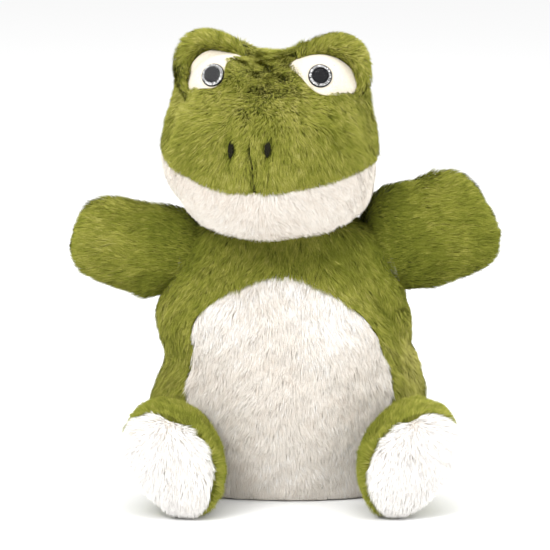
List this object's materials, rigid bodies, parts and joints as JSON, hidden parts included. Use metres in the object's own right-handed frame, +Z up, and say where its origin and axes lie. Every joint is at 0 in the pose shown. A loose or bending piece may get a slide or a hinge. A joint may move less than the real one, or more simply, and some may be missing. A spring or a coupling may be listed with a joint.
{
  "type": "hand puppet",
  "caption": "Plush frog glove puppet with an open hem, a stuffed head with a finger pocket, two hollow arms and two stuffed feet.",
  "frame": {"origin": "middle of the bounding box's base, on the surface the puppet stands on", "axes": "+Z up, front of the puppet faces -Y, +X to the right of the front view"},
  "size_m": [0.2206, 0.1357, 0.2375],
  "materials": {
    "green_plush": "matte",
    "cream_plush": "matte",
    "lining_cloth": "matte",
    "dark_thread": "matte",
    "fibre_fill": "matte",
    "eye_velvet": "matte",
    "clear_plastic": "gloss",
    "glitter_iris": "gloss",
    "black_plastic": "gloss",
    "white_plastic": "matte",
    "label_cloth": "satin"
  },
  "bodies": {
    "torso": {"body_front": "green_plush", "belly_panel": "cream_plush", "body_back": "green_plush", "lining_front": "lining_cloth", "lining_back": "lining_cloth", "hem_band": "lining_cloth", "hem_stitching": "dark_thread", "care_label": "label_cloth"},
    "neck_lower": {"neck_seam_lower": "lining_cloth"},
    "neck_upper": {"neck_seam_upper": "lining_cloth"},
    "head": {"head_left": "green_plush", "head_right": "green_plush", "head_back": "green_plush", "chin_panel": "cream_plush", "head_stuffing": "fibre_fill", "finger_pocket": "lining_cloth", "eye_white_left": "eye_velvet", "eye_white_right": "eye_velvet", "brow_left": "green_plush", "brow_right": "green_plush", "eye_dome_left": "clear_plastic", "eye_dome_right": "clear_plastic", "eye_iris_left": "glitter_iris", "eye_iris_right": "glitter_iris", "eye_pupil_left": "black_plastic", "eye_pupil_right": "black_plastic", "eye_shank_left": "black_plastic", "eye_shank_right": "black_plastic", "eye_washer_left": "white_plastic", "eye_washer_right": "white_plastic", "nostril_left": "dark_thread", "nostril_right": "dark_thread", "nose_stitch": "dark_thread", "mouth_stitch": "dark_thread"},
    "shoulder_left": {"shoulder_seam_left": "lining_cloth"},
    "arm_left": {"arm_left_front": "green_plush", "arm_left_back": "green_plush", "arm_left_lining": "lining_cloth"},
    "shoulder_right": {"shoulder_seam_right": "lining_cloth"},
    "arm_right": {"arm_right_front": "green_plush", "arm_right_back": "green_plush", "arm_right_lining": "lining_cloth"},
    "foot_left": {"foot_left_upper": "green_plush", "foot_left_sole": "cream_plush", "foot_left_filling": "fibre_fill"},
    "foot_right": {"foot_right_upper": "green_plush", "foot_right_sole": "cream_plush", "foot_right_filling": "fibre_fill"}
  },
  "joints": [
    {"name": "head_turn", "type": "hinge", "parent": "torso", "child": "neck_lower", "pos_m": [-0.006, 0.0245, 0.138], "axis": [0, 0, 1], "range_deg": [-30, 30], "stiffness_Nm_per_rad": 0.25},
    {"name": "head_tilt", "type": "hinge", "parent": "neck_lower", "child": "neck_upper", "pos_m": [-0.006, 0.0245, 0.138], "axis": [0.1736, 0.9848, 0], "range_deg": [-8, 8], "stiffness_Nm_per_rad": 0.5},
    {"name": "head_nod", "type": "hinge", "parent": "neck_upper", "child": "head", "pos_m": [-0.006, 0.0245, 0.138], "axis": [0.9848, -0.1736, 0], "range_deg": [-20, 18], "stiffness_Nm_per_rad": 0.5},
    {"name": "arm_left_swing", "type": "hinge", "parent": "torso", "child": "shoulder_left", "pos_m": [-0.0575, 0.0275, 0.12], "axis": [0, 0, 1], "range_deg": [-20, 30], "stiffness_Nm_per_rad": 0.12},
    {"name": "arm_left_raise", "type": "hinge", "parent": "shoulder_left", "child": "arm_left", "pos_m": [-0.0575, 0.0275, 0.12], "axis": [0, 1, 0], "range_deg": [-22, 28], "stiffness_Nm_per_rad": 0.12},
    {"name": "arm_right_swing", "type": "hinge", "parent": "torso", "child": "shoulder_right", "pos_m": [0.0565, 0.0275, 0.12], "axis": [0, 0, -1], "range_deg": [-20, 30], "stiffness_Nm_per_rad": 0.12},
    {"name": "arm_right_raise", "type": "hinge", "parent": "shoulder_right", "child": "arm_right", "pos_m": [0.0565, 0.0275, 0.12], "axis": [0, 1, 0], "range_deg": [-30, 22], "stiffness_Nm_per_rad": 0.12},
    {"name": "foot_left_flap", "type": "hinge", "parent": "torso", "child": "foot_left", "pos_m": [-0.04, -0.008, 0.027], "axis": [-0.9397, 0.342, 0], "range_deg": [-22, 30], "stiffness_Nm_per_rad": 0.12},
    {"name": "foot_right_flap", "type": "hinge", "parent": "torso", "child": "foot_right", "pos_m": [0.044, -0.008, 0.027], "axis": [-0.9397, -0.342, 0], "range_deg": [-22, 30], "stiffness_Nm_per_rad": 0.12}
  ]
}
